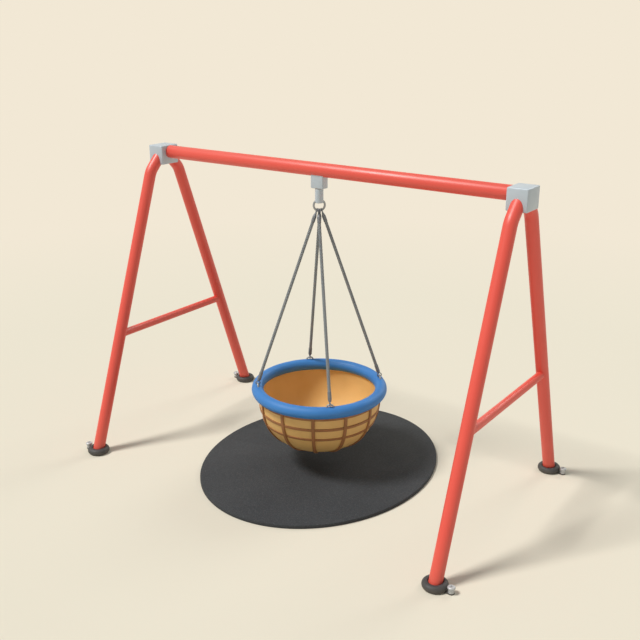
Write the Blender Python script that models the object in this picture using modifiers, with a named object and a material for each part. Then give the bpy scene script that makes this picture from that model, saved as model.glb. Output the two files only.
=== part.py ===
"""Nest swing set: two bent-tube A-frames, a top beam, a swivel head, a ring and a roped basket.

Frame: origin on the ground below the middle of the beam, +X along the beam, +Z up, metres.
"""

import math

import bmesh
import bpy
from mathutils import Matrix, Vector

# Fits: seated pieces keep this gap
GAP = 0.0003

# Top beam
BEAM_AXIS_Z = 2.40
BEAM_RADIUS = 0.0517
BEAM_WALL = 0.004
BEAM_SIDES = 24

# Corner castings
FRAME_HALF_SPAN = 1.5985
CASTING_WIDTH = 0.150
CASTING_DEPTH = 0.186
CASTING_HEIGHT = 0.154
CASTING_DROP = 0.0236
CASTING_EDGE = 0.005
BEAM_SPIGOT_LENGTH = 0.080
LEG_SPIGOT_LENGTH = 0.050
SPIGOT_ROOT = 0.035

# Legs: a bend close below the casting, straight from there to the foot
LEG_RADIUS = 0.0468
LEG_WALL = 0.0035
LEG_GROUND_Y = 0.9594
LEG_BEND_Y = 0.160
LEG_BEND_DROP = 0.150
LEG_AIM_RISE = 0.0145
LEG_BEND_RADIUS = 0.16
LEG_RESOLUTION = 6
BEND_STEPS = 3

# Cross braces
BRACE_HEIGHT = 0.954
BRACE_RADIUS = 0.0307
BRACE_WALL = 0.003
BRACE_RESOLUTION = 4

# Feet: plate, collar and anchor are centred a little inside the leg's line at the ground
FOOT_Y = 0.952
PLATE_RADIUS = 0.064
PLATE_THICKNESS = 0.008
COLLAR_RADIUS = 0.0885
COLLAR_SECTION = 0.0270
COLLAR_HEIGHT = 0.050
COLLAR_STEPS = 10
COLLAR_SIDES = 24
BOLT_SHANK = 0.008
BOLT_BODY = 0.0205
BOLT_HEAD = 0.0270
BOLT_BODY_HEIGHT = 0.030
BOLT_HEAD_HEIGHT = 0.016
BOLT_CROWN = 0.005
BOLT_SPACE = 0.0010
BOLT_SIDES = 16
EAR_MARGIN = 0.001

# Safety mat: an oval, longer the way the basket swings
MAT_HALF_WIDTH = 0.903
MAT_HALF_LENGTH = 1.073
MAT_THICKNESS = 0.0276
MAT_CHAMFER = 0.004
MAT_OFFSET = (0.015, 0.0)
MAT_SIDES = 60

# Swivel housing and what turns in it
HOUSING_WIDTH = 0.110
HOUSING_DEPTH = 0.070
HOUSING_DROP = 0.138
HOUSING_LAP = 0.030
HOUSING_EDGE = 0.006
SHANK_RADIUS = 0.015
BUSH_WALL = 0.005
BUSH_LENGTH = 0.037
FLANGE_RADIUS = 0.0300
FLANGE_THICKNESS = 0.003
RACE_RADIUS = 0.0270
RACE_THICKNESS = 0.006
POCKET_CLEARANCE = 0.0006
NUT_CORNER = 0.0262
NUT_HEIGHT = 0.020
SHANK_OVER_NUT = 0.004
TURN_SIDES = 20
RUNNING_GAP = 0.0002

# Spindle neck and the ring in its curved eye
NECK_RADIUS = 0.0315
NECK_LENGTH = 0.1067
NECK_ROUND = 0.007
RING_RADIUS = 0.042
RING_WIRE = 0.008
RING_DROP = 0.017
RING_CLEARANCE = 0.0005
EYE_CLEARANCE = 0.0009
RING_STEPS = 32
RING_SIDES = 8
RING_AZIMUTH = math.radians(45)

# Rope terminals and ropes
EYE_INNER = 0.012
EYE_WIRE = 0.004
HEAD_CONE_TOP = 0.0062
HEAD_CONE_END = 0.046
FOOT_CONE_TOP = 0.0095
FOOT_CONE_END = 0.030
SLEEVE_END = 0.090
SLEEVE_WALL = 0.0020
SOCKET_DEPTH = 0.038
ROPE_RADIUS = 0.0125
INNER_EYE_ANGLE = math.radians(6.5)
OUTER_EYE_ANGLE = math.radians(26)
EYE_STEPS = 16
EYE_SIDES = 6
ROPE_SIDES = 10
ROPE_POINTS = 7

# Rim
RIM_HEIGHT = 0.660
RIM_RADIUS = 0.4925
PAD_RADIUS = 0.0475
CORE_RADIUS = 0.010
CORE_SIDES = 8
PAD_STEPS = 13
LOOP_RADIUS = 0.029
LOOP_WIRE = 0.006
LOOP_CENTRE_RISE = 0.038
LOOP_STEPS = 6
LOOP_RESOLUTION = 2
LOOP_GAP = 0.0004
ROUND_STEPS = 48

# Bowl
BOWL_WALL = 0.008
BOWL_START_DROP = 0.0335
BOWL_DEPTH = 0.457
BOWL_POWER = 2.42
BOWL_LOWER_STEPS = 4
HOOP_DROPS = (0.063, 0.153, 0.245)
HOOP_WIDTHS = (0.018, 0.022, 0.020)
HOOP_NAMES = ("hoop_upper", "hoop_middle", "hoop_lower")
HOOP_THICKNESS = 0.006
RIB_COUNT = 12
RIB_WIDTH = 0.026
RIB_THICKNESS = 0.010
BOSS_RADIUS = 0.056
BOSS_HEIGHT = 0.013
BOSS_CHAMFER = 0.004

# What follows from the sizes above
BEND_Z = BEAM_AXIS_Z - LEG_BEND_DROP
CASTING_Z = BEAM_AXIS_Z - CASTING_DROP
HOUSING_BOTTOM = BEAM_AXIS_Z - HOUSING_DROP
NECK_TOP = HOUSING_BOTTOM - FLANGE_THICKNESS - 2 * GAP
NECK_BOTTOM = NECK_TOP - NECK_LENGTH
RING_Z = NECK_BOTTOM - RING_DROP
BASKET_PIVOT_Z = RING_Z - RING_RADIUS * math.cos(INNER_EYE_ANGLE)
SHELL_RADIUS = RIM_RADIUS - CORE_RADIUS - GAP
LEG_SIDES = 2 * LEG_RESOLUTION + 4
RIM_AZIMUTHS = {"front": -45, "right": 45, "rear": 135, "left": -135}
SIDES = {"left": -1, "right": 1}
ENDS = {"front": -1, "rear": 1}

PART = bpy.data.collections.new("nest_swing_set")
CUTTERS = bpy.data.collections.new("cutters")


def linear(channel):
    """One sRGB channel from 0 to 255 as the linear value that a shader takes."""
    value = channel / 255
    return value / 12.92 if value <= 0.04045 else ((value + 0.055) / 1.055) ** 2.4


def material(name, colour, roughness, metallic=0.0):
    shader_material = bpy.data.materials.new(name)
    shader_material.use_nodes = True
    shader = shader_material.node_tree.nodes["Principled BSDF"]
    shader.inputs["Base Color"].default_value = (*[linear(c) for c in colour], 1)
    shader.inputs["Roughness"].default_value = roughness
    shader.inputs["Metallic"].default_value = metallic
    return shader_material


def add_object(name, data, surface=None, cutter=False):
    piece = bpy.data.objects.new(name, data)
    (CUTTERS if cutter else PART).objects.link(piece)
    if cutter:
        piece.hide_render = True
        piece.display_type = "WIRE"
    if surface:
        data.materials.append(surface)
    return piece


def baked_mesh(piece):
    """The object's shape with its modifiers, in world space, as a mesh; the object goes."""
    bpy.context.view_layer.update()
    graph = bpy.context.evaluated_depsgraph_get()
    mesh = bpy.data.meshes.new_from_object(piece.evaluated_get(graph))
    mesh.transform(piece.matrix_world)
    made = bmesh.new()
    made.from_mesh(mesh)
    bmesh.ops.remove_doubles(made, verts=made.verts, dist=0.00001)
    made.to_mesh(mesh)
    made.free()
    bpy.data.objects.remove(piece)
    return mesh


def box(name, size, centre, surface=None, cutter=False):
    made = bmesh.new()
    bmesh.ops.create_cube(made, size=1)
    bmesh.ops.scale(made, vec=size, verts=made.verts)
    mesh = bpy.data.meshes.new(name)
    made.to_mesh(mesh)
    made.free()
    piece = add_object(name, mesh, surface, cutter)
    piece.location = centre
    return piece


def rod(name, radius, start, end, sides, surface=None, cutter=False):
    """A round bar from start to end."""
    start, end = Vector(start), Vector(end)
    made = bmesh.new()
    bmesh.ops.create_cone(made, cap_ends=True, segments=sides, radius1=radius, radius2=radius,
                          depth=(end - start).length)
    mesh = bpy.data.meshes.new(name)
    made.to_mesh(mesh)
    made.free()
    piece = add_object(name, mesh, surface, cutter)
    piece.rotation_euler = (end - start).to_track_quat("Z", "Y").to_euler()
    piece.location = (start + end) / 2
    return piece


def turned(name, outline, steps, surface=None, cutter=False):
    """A solid of revolution about Z from (radius, height) points, listed either way round."""
    points = list(outline)
    pairs = list(zip(points, points[1:] + points[:1]))
    area = sum(a[0] * b[1] - b[0] * a[1] for a, b in pairs)
    if area > 0:
        points.reverse()
    on_axis = points[0][0] == 0 or points[-1][0] == 0
    if on_axis:
        while points[0][0] != 0 or points[-1][0] != 0:
            points = points[1:] + points[:1]
    edges = [(i, i + 1) for i in range(len(points) - 1)]
    if not on_axis:
        edges.append((len(points) - 1, 0))
    mesh = bpy.data.meshes.new(name)
    mesh.from_pydata([(r, 0, z) for r, z in points], edges, [])
    piece = add_object(name, mesh, surface, cutter)
    screw = piece.modifiers.new("turn", "SCREW")
    screw.steps = screw.render_steps = steps
    screw.use_merge_vertices = True
    screw.merge_threshold = 0.00001
    return piece


def tube_mesh(name, points, radius, resolution):
    """A round tube or wire along the points, as a closed mesh."""
    curve = bpy.data.curves.new(name, "CURVE")
    curve.dimensions = "3D"
    spline = curve.splines.new("POLY")
    spline.points.add(len(points) - 1)
    for target, point in zip(spline.points, points):
        target.co = (*point, 1)
    curve.bevel_depth = radius
    curve.bevel_resolution = resolution
    curve.use_fill_caps = True
    return baked_mesh(add_object(name, curve, cutter=True))


def torus(name, major, minor, steps, sides, surface=None, cutter=False):
    outline = []
    for i in range(sides):
        angle = 2 * math.pi * i / sides
        outline.append((major + minor * math.cos(angle), minor * math.sin(angle)))
    return turned(name, outline, steps, surface, cutter)


def combine(piece, tool, operation="DIFFERENCE"):
    step = piece.modifiers.new(operation.lower(), "BOOLEAN")
    step.operation = operation
    step.solver = "EXACT"
    step.object = tool


def bevel(piece, width, segments=2):
    edge = piece.modifiers.new("edges", "BEVEL")
    edge.width = width
    edge.segments = segments
    edge.limit_method = "ANGLE"


def inside(radius, sides, gap=GAP):
    """The widest many-sided bar that clears the flats of a bore of this radius."""
    return radius * math.cos(math.pi / sides) - gap


def around(radius, sides, gap=GAP):
    """The tightest many-sided bore whose flats clear a bar of this radius."""
    return (radius + gap) / math.cos(math.pi / sides)


def leg_axis(side, end):
    """Foot, bend and aim points of a leg's axis; the aim lies in the casting's middle."""
    x = side * FRAME_HALF_SPAN
    foot = Vector((x, end * LEG_GROUND_Y, 0))
    bend = Vector((x, end * LEG_BEND_Y, BEND_Z))
    aim = Vector((x, 0, BEAM_AXIS_Z + LEG_AIM_RISE))
    return foot, bend, aim


def bent_path(start, corner, end, radius, steps):
    """The corner of a path rounded by an arc of the bend radius."""
    before = (corner - start).normalized()
    after = (end - corner).normalized()
    turn = before.angle(after)
    trim = radius * math.tan(turn / 2)
    first = corner - before * trim
    across = (after - before * before.dot(after)).normalized()
    centre = first + across * radius
    points = [start]
    for i in range(steps + 1):
        angle = turn * i / steps
        points.append(centre - across * radius * math.cos(angle) + before * radius * math.sin(angle))
    points.append(end)
    return points


def make_beam(paint):
    half = FRAME_HALF_SPAN - CASTING_WIDTH / 2 - GAP
    outline = [(BEAM_RADIUS, half), (BEAM_RADIUS, -half), (BEAM_RADIUS - BEAM_WALL, -half),
               (BEAM_RADIUS - BEAM_WALL, half)]
    beam = turned("top_beam", outline, BEAM_SIDES, paint)
    beam.rotation_euler = (0, math.pi / 2, 0)
    beam.location = (0, 0, BEAM_AXIS_Z)


def make_casting(word, side, metal):
    centre = Vector((side * FRAME_HALF_SPAN, 0, CASTING_Z))
    block = box(f"corner_casting_{word}", (CASTING_WIDTH, CASTING_DEPTH, CASTING_HEIGHT), centre, metal)
    bevel(block, CASTING_EDGE)
    inner_face = side * (FRAME_HALF_SPAN - CASTING_WIDTH / 2)
    radius = inside(BEAM_RADIUS - BEAM_WALL, BEAM_SIDES)
    start = (inner_face + side * SPIGOT_ROOT, 0, BEAM_AXIS_Z)
    end = (inner_face - side * BEAM_SPIGOT_LENGTH, 0, BEAM_AXIS_Z)
    combine(block, rod(f"beam_spigot_{word}", radius, start, end, BEAM_SIDES, cutter=True), "UNION")
    for place, toward in ENDS.items():
        bend, aim = leg_axis(side, toward)[1:]
        along = (bend - aim).normalized()
        to_face = CASTING_DEPTH / 2 / abs(along.y)
        radius = inside(LEG_RADIUS - LEG_WALL, LEG_SIDES)
        spigot = rod(f"leg_spigot_{place}_{word}", radius, aim + along * (to_face - SPIGOT_ROOT),
                     aim + along * (to_face + LEG_SPIGOT_LENGTH), LEG_SIDES, cutter=True)
        combine(block, spigot, "UNION")


def anchor_place(side, end):
    """Where an anchor bolt stands: just outboard of the collar."""
    reach = COLLAR_RADIUS + BOLT_HEAD + BOLT_SPACE
    return Vector((side * (FRAME_HALF_SPAN + reach), end * FOOT_Y, 0))


def make_plate(word, side, end, radius_extra, top, hole):
    """The foot plate with its ear, or the same shape a little larger as a cutter."""
    x, y = side * FRAME_HALF_SPAN, end * FOOT_Y
    plate = rod(f"plate_{word}", PLATE_RADIUS + radius_extra, (x, y, 0), (x, y, top), COLLAR_SIDES,
                cutter=True)
    anchor = anchor_place(side, end)
    half = BOLT_BODY + EAR_MARGIN + radius_extra
    ear_end = rod(f"ear_end_{word}", half, anchor, anchor + Vector((0, 0, top)), BOLT_SIDES, cutter=True)
    flat = half * math.cos(math.pi / BOLT_SIDES)
    arm = box(f"ear_arm_{word}", (abs(anchor.x - x), 2 * flat, top), ((anchor.x + x) / 2, y, top / 2),
              cutter=True)
    combine(plate, ear_end, "UNION")
    combine(plate, arm, "UNION")
    if hole:
        radius = around(BOLT_SHANK, BOLT_SIDES)
        bore = rod(f"ear_hole_{word}", radius, anchor - Vector((0, 0, top)), anchor + Vector((0, 0, 2 * top)),
                   BOLT_SIDES, cutter=True)
        combine(plate, bore)
    return plate


def make_leg(place, word, paint):
    side, end = SIDES[word], ENDS[place]
    name = f"{place}_{word}"
    foot, bend, aim = leg_axis(side, end)
    down = (foot - bend).normalized()
    low = foot + down * LEG_RADIUS
    path = bent_path(low, bend, aim.lerp(bend, 0.1), LEG_BEND_RADIUS, BEND_STEPS)
    mesh = tube_mesh(f"leg_{name}", path, LEG_RADIUS, LEG_RESOLUTION)
    leg = add_object(f"leg_{name}", mesh, paint)
    path[0] = path[0] + down * LEG_RADIUS
    path[-1] = aim
    bore = add_object(f"leg_bore_{name}", tube_mesh("bore", path, LEG_RADIUS - LEG_WALL, LEG_RESOLUTION),
                      cutter=True)
    combine(leg, bore)
    grown = Vector((CASTING_WIDTH, CASTING_DEPTH, CASTING_HEIGHT)) + Vector((2 * GAP,) * 3)
    combine(leg, box(f"cope_{name}", grown, (foot.x, 0, CASTING_Z), cutter=True))
    ground = 8 * LEG_RADIUS
    cut = box(f"ground_{name}", (ground, ground, ground),
              (foot.x, foot.y, PLATE_THICKNESS / 2 - ground / 2), cutter=True)
    combine(leg, cut)
    combine(leg, make_plate(name, side, end, 0, PLATE_THICKNESS, True), "UNION")


def leg_sheath(name, side, end):
    """The straight run of a leg, grown by the gap, to cope what meets it."""
    foot, bend = leg_axis(side, end)[:2]
    down = (foot - bend).normalized()
    path = [foot + down * LEG_RADIUS, foot.lerp(bend, 0.8)]
    return add_object(name, tube_mesh(name, path, LEG_RADIUS + GAP, LEG_RESOLUTION), cutter=True)


def make_brace(word, paint):
    side = SIDES[word]
    foot, bend = leg_axis(side, 1)[:2]
    reach = foot.lerp(bend, BRACE_HEIGHT / BEND_Z).y
    ends = [Vector((foot.x, -reach, BRACE_HEIGHT)), Vector((foot.x, reach, BRACE_HEIGHT))]
    name = f"cross_brace_{word}"
    brace = add_object(name, tube_mesh(name, ends, BRACE_RADIUS, BRACE_RESOLUTION), paint)
    bore_ends = [ends[0] * 1.0, ends[1] * 1.0]
    bore_ends[0].y -= LEG_RADIUS
    bore_ends[1].y += LEG_RADIUS
    bore = tube_mesh("brace_bore", bore_ends, BRACE_RADIUS - BRACE_WALL, BRACE_RESOLUTION)
    combine(brace, add_object(f"brace_bore_{word}", bore, cutter=True))
    for place, end in ENDS.items():
        combine(brace, leg_sheath(f"brace_cope_{place}_{word}", side, end))


def make_collar(place, word, rubber):
    side, end = SIDES[word], ENDS[place]
    major = COLLAR_RADIUS - COLLAR_SECTION
    middle = COLLAR_HEIGHT - COLLAR_SECTION
    outline = []
    for i in range(COLLAR_STEPS):
        angle = math.pi / 2 - 2 * math.pi * i / COLLAR_STEPS
        height = middle + COLLAR_SECTION * math.sin(angle)
        outline.append((major + COLLAR_SECTION * math.cos(angle), max(height, 0)))
    flat = [p for p in outline if p[1] == 0]
    outline = [p for p in outline if p[1] > 0 or p in (flat[0], flat[-1])]
    collar = turned(f"foot_collar_{place}_{word}", outline, COLLAR_SIDES, rubber)
    collar.location = (side * FRAME_HALF_SPAN, end * FOOT_Y, 0)
    combine(collar, leg_sheath(f"collar_hole_{place}_{word}", side, end))
    recess = make_plate(f"recess_{place}_{word}", side, end, GAP / math.cos(math.pi / COLLAR_SIDES),
                        PLATE_THICKNESS + GAP, False)
    combine(collar, recess)


def make_anchor(place, word, zinc):
    base = PLATE_THICKNESS + GAP
    shoulder = base + BOLT_BODY_HEIGHT
    top = shoulder + BOLT_HEAD_HEIGHT
    outline = [(0, top), (BOLT_HEAD - BOLT_CROWN, top), (BOLT_HEAD, top - BOLT_CROWN), (BOLT_HEAD, shoulder),
               (BOLT_BODY, shoulder), (BOLT_BODY, base), (BOLT_SHANK, base), (BOLT_SHANK, 0), (0, 0)]
    bolt = turned(f"anchor_bolt_{place}_{word}", outline, BOLT_SIDES, zinc)
    bolt.location = anchor_place(SIDES[word], ENDS[place])


def make_mat(rubber):
    low, high = 0, MAT_THICKNESS
    outline = [(0, high), (MAT_HALF_WIDTH - MAT_CHAMFER, high), (MAT_HALF_WIDTH, high - MAT_CHAMFER),
               (MAT_HALF_WIDTH, low), (0, low)]
    disc = turned("mat_disc", outline, MAT_SIDES)
    mesh = baked_mesh(disc)
    mesh.transform(Matrix.Diagonal((1, MAT_HALF_LENGTH / MAT_HALF_WIDTH, 1, 1)))
    mat = add_object("safety_mat", mesh, rubber)
    mat.location = (*MAT_OFFSET, 0)


def make_swivel(metal, bronze, steel):
    top = BEAM_AXIS_Z - BEAM_RADIUS + HOUSING_LAP
    height = top - HOUSING_BOTTOM
    housing = box("swivel_housing", (HOUSING_WIDTH, HOUSING_DEPTH, height), (0, 0, HOUSING_BOTTOM + height / 2),
                  metal)
    bevel(housing, HOUSING_EDGE)
    reach = HOUSING_WIDTH
    saddle = rod("saddle", BEAM_RADIUS + GAP, (-reach, 0, BEAM_AXIS_Z), (reach, 0, BEAM_AXIS_Z), BEAM_SIDES,
                 cutter=True)
    combine(housing, saddle)
    bush_outer = around(SHANK_RADIUS, TURN_SIDES, RUNNING_GAP) + BUSH_WALL
    pocket_floor = HOUSING_BOTTOM + BUSH_LENGTH + GAP
    pocket = around(RACE_RADIUS, TURN_SIDES, POCKET_CLEARANCE)
    lower_bore = bush_outer + GAP / math.cos(math.pi / TURN_SIDES)
    cavity = [(0, BEAM_AXIS_Z), (pocket, BEAM_AXIS_Z), (pocket, pocket_floor), (lower_bore, pocket_floor),
              (lower_bore, HOUSING_BOTTOM - HOUSING_EDGE), (0, HOUSING_BOTTOM - HOUSING_EDGE)]
    combine(housing, turned("housing_bore", cavity, TURN_SIDES, cutter=True))

    bore = around(SHANK_RADIUS, TURN_SIDES, RUNNING_GAP)
    flange_top = HOUSING_BOTTOM - GAP
    bush = [(bore, HOUSING_BOTTOM + BUSH_LENGTH), (bush_outer, HOUSING_BOTTOM + BUSH_LENGTH),
            (bush_outer, flange_top), (FLANGE_RADIUS, flange_top),
            (FLANGE_RADIUS, flange_top - FLANGE_THICKNESS), (bore, flange_top - FLANGE_THICKNESS)]
    turned("spindle_bush", bush, TURN_SIDES, bronze)

    level = pocket_floor + GAP
    for name, hole in (("thrust_race_lower", bore + BUSH_WALL / 4), ("thrust_cage", bore + BUSH_WALL / 4),
                       ("thrust_race_upper", bore)):
        outer = RACE_RADIUS - (BUSH_WALL / 2 if name == "thrust_cage" else 0)
        ring = [(hole, level + RACE_THICKNESS), (outer, level + RACE_THICKNESS), (outer, level), (hole, level)]
        turned(name, ring, TURN_SIDES, bronze if name == "thrust_cage" else steel)
        level += RACE_THICKNESS + GAP

    nut = rod("spindle_nut", NUT_CORNER, (0, 0, level), (0, 0, level + NUT_HEIGHT), 6, steel)
    thread = rod("nut_bore", bore, (0, 0, level - GAP), (0, 0, level + 2 * NUT_HEIGHT), TURN_SIDES, cutter=True)
    combine(nut, thread)

    shank_top = level + NUT_HEIGHT + SHANK_OVER_NUT
    outline = [(0, shank_top), (SHANK_RADIUS, shank_top), (SHANK_RADIUS, NECK_TOP), (NECK_RADIUS, NECK_TOP)]
    for i in range(4):
        angle = math.pi / 2 * i / 3
        outline.append((NECK_RADIUS - NECK_ROUND + NECK_ROUND * math.cos(angle),
                        NECK_BOTTOM + NECK_ROUND - NECK_ROUND * math.sin(angle)))
    outline.append((0, NECK_BOTTOM))
    spindle = turned("swivel_spindle", outline, TURN_SIDES, metal)
    combine(spindle, ring_torus("ring_eye", RING_WIRE + RING_CLEARANCE, cutter=True))


def ring_torus(name, wire, surface=None, cutter=False):
    """The ring stands upright, its plane along the azimuth of the right and left ropes."""
    ring = torus(name, RING_RADIUS, wire, RING_STEPS, RING_SIDES, surface, cutter)
    ring.rotation_euler = (math.pi / 2, 0, RING_AZIMUTH)
    ring.location = (0, 0, RING_Z)
    return ring


def direction(azimuth, elevation=0.0):
    return Vector((math.cos(azimuth) * math.cos(elevation), math.sin(azimuth) * math.cos(elevation),
                   math.sin(elevation)))


def terminal_mesh(surface, cone_top, cone_end):
    """A swaged rope terminal: an eye at the origin, a cone and its sleeve running down local -Z."""
    middle = EYE_INNER + EYE_WIRE
    sleeve = ROPE_RADIUS + GAP + SLEEVE_WALL
    bottom = -SLEEVE_END
    mouth = around(ROPE_RADIUS, ROPE_SIDES)
    outline = [(0, -middle), (cone_top, -middle), (sleeve, -cone_end), (sleeve, bottom), (mouth, bottom),
               (mouth, bottom + SOCKET_DEPTH), (0, bottom + SOCKET_DEPTH)]
    terminal = turned("terminal", outline, ROPE_SIDES, surface)
    eye = torus("terminal_eye", middle, EYE_WIRE, EYE_STEPS, EYE_SIDES, cutter=True)
    eye.rotation_euler = (math.pi / 2, 0, 0)
    combine(terminal, eye, "UNION")
    return baked_mesh(terminal)


def place_terminal(name, mesh, centre, toward_rope, eye_normal):
    """Put a terminal with its eye at centre and its sleeve along toward_rope."""
    z_axis = -toward_rope.normalized()
    x_axis = eye_normal.cross(z_axis).normalized()
    y_axis = z_axis.cross(x_axis)
    piece = add_object(name, mesh)
    piece.matrix_world = Matrix((x_axis, y_axis, z_axis)).transposed().to_4x4()
    piece.location = centre
    return piece


def rope_ends(place):
    """Eye centres of a rope's upper and lower terminals, and the normals of both eyes."""
    azimuth = math.radians(RIM_AZIMUTHS[place])
    along = direction(RING_AZIMUTH)
    across = direction(RING_AZIMUTH - math.pi / 2)
    angles = {"left": -OUTER_EYE_ANGLE, "front": -INNER_EYE_ANGLE,
              "rear": INNER_EYE_ANGLE, "right": OUTER_EYE_ANGLE}
    reach = RING_RADIUS + EYE_INNER - RING_WIRE - EYE_CLEARANCE
    upper = Vector((0, 0, RING_Z)) + reach * (along * math.sin(angles[place])
                                              - Vector((0, 0, 1)) * math.cos(angles[place]))
    loop_top = direction(azimuth) * RIM_RADIUS
    loop_top.z = RIM_HEIGHT + LOOP_CENTRE_RISE + LOOP_RADIUS
    lean = (upper - loop_top).normalized()
    lower = loop_top + lean * (EYE_INNER - LOOP_WIRE - GAP)
    upper_normal = across.cross(upper - lower).normalized()
    lower_normal = direction(azimuth + math.pi / 2)
    return upper, lower, upper_normal, lower_normal


def make_ropes(steel, cord):
    head = terminal_mesh(steel, HEAD_CONE_TOP, HEAD_CONE_END)
    foot = terminal_mesh(steel, FOOT_CONE_TOP, FOOT_CONE_END)
    seat = SLEEVE_END - SOCKET_DEPTH + GAP
    for place in RIM_AZIMUTHS:
        upper, lower, upper_normal, lower_normal = rope_ends(place)
        place_terminal(f"rope_head_{place}", head, upper, lower - upper, upper_normal)
        place_terminal(f"rope_foot_{place}", foot, lower, upper - lower, lower_normal)
        run = (lower - upper).normalized()
        start, end = upper + run * seat, lower - run * seat
        points = [start.lerp(end, i / (ROPE_POINTS - 1)) for i in range(ROPE_POINTS)]
        name = f"rope_{place}"
        add_object(name, tube_mesh(name, points, ROPE_RADIUS, (ROPE_SIDES - 4) // 2), cord)


def pad_outline():
    """The foam's section: round outside, a bore for the core and a slot for the bowl's lip."""
    slot_out = -CORE_RADIUS
    slot_in = -(CORE_RADIUS + 3 * GAP + BOWL_WALL)
    start = math.acos(slot_out / PAD_RADIUS)
    end = math.acos(slot_in / PAD_RADIUS)
    points = []
    sweep = 2 * math.pi - (end - start)
    for i in range(PAD_STEPS + 1):
        angle = -start + sweep * i / PAD_STEPS
        points.append((PAD_RADIUS * math.cos(angle), PAD_RADIUS * math.sin(angle)))
    bore = CORE_RADIUS + GAP
    points.append((slot_in, GAP))
    points.append((-bore, GAP))
    for i in range(1, CORE_SIDES):
        angle = math.pi - 2 * math.pi * i / CORE_SIDES
        points.append((bore * math.cos(angle), bore * math.sin(angle)))
    points.append((slot_out, -GAP))
    return points


def make_rim(foam, steel):
    core = torus("rim_core", RIM_RADIUS, CORE_RADIUS, ROUND_STEPS, CORE_SIDES, steel)
    core.location = (0, 0, RIM_HEIGHT)
    outline = [(RIM_RADIUS + x, z) for x, z in pad_outline()]
    pad = turned("rim_padding", outline, ROUND_STEPS, foam)
    pad.location = (0, 0, RIM_HEIGHT)
    for place, degrees in RIM_AZIMUTHS.items():
        azimuth = math.radians(degrees)
        out, tangent = direction(azimuth), direction(azimuth + math.pi / 2)
        base = out * RIM_RADIUS
        centre = base + Vector((0, 0, RIM_HEIGHT + LOOP_CENTRE_RISE))
        points = [base + tangent * LOOP_RADIUS + Vector((0, 0, RIM_HEIGHT))]
        for i in range(LOOP_STEPS + 1):
            angle = math.pi * i / LOOP_STEPS
            points.append(centre + tangent * LOOP_RADIUS * math.cos(angle)
                          + Vector((0, 0, LOOP_RADIUS * math.sin(angle))))
        points.append(base - tangent * LOOP_RADIUS + Vector((0, 0, RIM_HEIGHT)))
        loop = add_object(f"loop_{place}", tube_mesh("loop", points, LOOP_WIRE, LOOP_RESOLUTION), cutter=True)
        combine(core, loop, "UNION")
        mould = tube_mesh("mould", points, LOOP_WIRE + LOOP_GAP, LOOP_RESOLUTION)
        combine(pad, add_object(f"pad_hole_{place}", mould, cutter=True))


def bowl_radius(drop):
    """Outer radius of the bowl this far below where its curve starts."""
    return SHELL_RADIUS * (1 - (drop / BOWL_DEPTH) ** BOWL_POWER) ** (1 / BOWL_POWER)


def bowl_meridian():
    """Outer line of the bowl from its lip to its pole, and the index of each hoop's upper edge."""
    start = RIM_HEIGHT - BOWL_START_DROP
    points = [(SHELL_RADIUS, RIM_HEIGHT), (SHELL_RADIUS, start)]
    marks = []
    last = 0
    for drop, width in zip(HOOP_DROPS, HOOP_WIDTHS):
        top = drop - BOWL_START_DROP - width / 2
        if marks:
            between = (last + top) / 2
            points.append((bowl_radius(between), start - between))
        marks.append(len(points))
        last = top + width
        points.append((bowl_radius(top), start - top))
        points.append((bowl_radius(last), start - last))
    first = math.asin((last / BOWL_DEPTH) ** (BOWL_POWER / 2))
    boss = math.acos((BOSS_RADIUS / SHELL_RADIUS) ** (BOWL_POWER / 2))
    for i in range(1, BOWL_LOWER_STEPS + 1):
        angle = first + (boss - first) * i / BOWL_LOWER_STEPS
        drop = BOWL_DEPTH * math.sin(angle) ** (2 / BOWL_POWER)
        points.append((SHELL_RADIUS * math.cos(angle) ** (2 / BOWL_POWER), start - drop))
    points.append((0, start - BOWL_DEPTH))
    return points, marks


def offset_line(points, distance):
    """The same line moved outwards by a distance, mitred at its corners."""
    flat = [Vector((r, z)) for r, z in points]
    moved = []
    for i, point in enumerate(flat):
        legs = []
        if i > 0:
            legs.append((point - flat[i - 1]).normalized())
        if i < len(flat) - 1:
            legs.append((flat[i + 1] - point).normalized())
        normals = [Vector((-leg.y, leg.x)) for leg in legs]
        middle = sum(normals, Vector((0, 0))).normalized()
        moved.append(point + middle * distance / middle.dot(normals[0]))
    return [(p.x, p.y) for p in moved]


def make_bowl(plastic, strip):
    meridian, marks = bowl_meridian()
    mesh_points = [(r, 0, z) for r, z in meridian]
    mesh = bpy.data.meshes.new("bowl_shell")
    mesh.from_pydata(mesh_points, [(i, i + 1) for i in range(len(mesh_points) - 1)], [])
    shell = add_object("bowl_shell", mesh, plastic)
    screw = shell.modifiers.new("turn", "SCREW")
    screw.steps = screw.render_steps = ROUND_STEPS
    screw.use_merge_vertices = True
    screw.merge_threshold = 0.00001
    wall = shell.modifiers.new("wall", "SOLIDIFY")
    wall.thickness = BOWL_WALL
    wall.offset = -1
    wall.use_even_offset = True

    inner = offset_line(meridian, GAP)
    for name, mark in zip(HOOP_NAMES, marks):
        across = Vector(inner[mark + 1]) - Vector(inner[mark])
        out = Vector((-across.y, across.x)).normalized() * HOOP_THICKNESS
        low, high = Vector(inner[mark + 1]), Vector(inner[mark])
        turned(name, [tuple(high), tuple(high + out), tuple(low + out), tuple(low)], ROUND_STEPS, strip)
    make_ribs(meridian, marks, strip)
    make_boss(meridian, strip)


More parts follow.
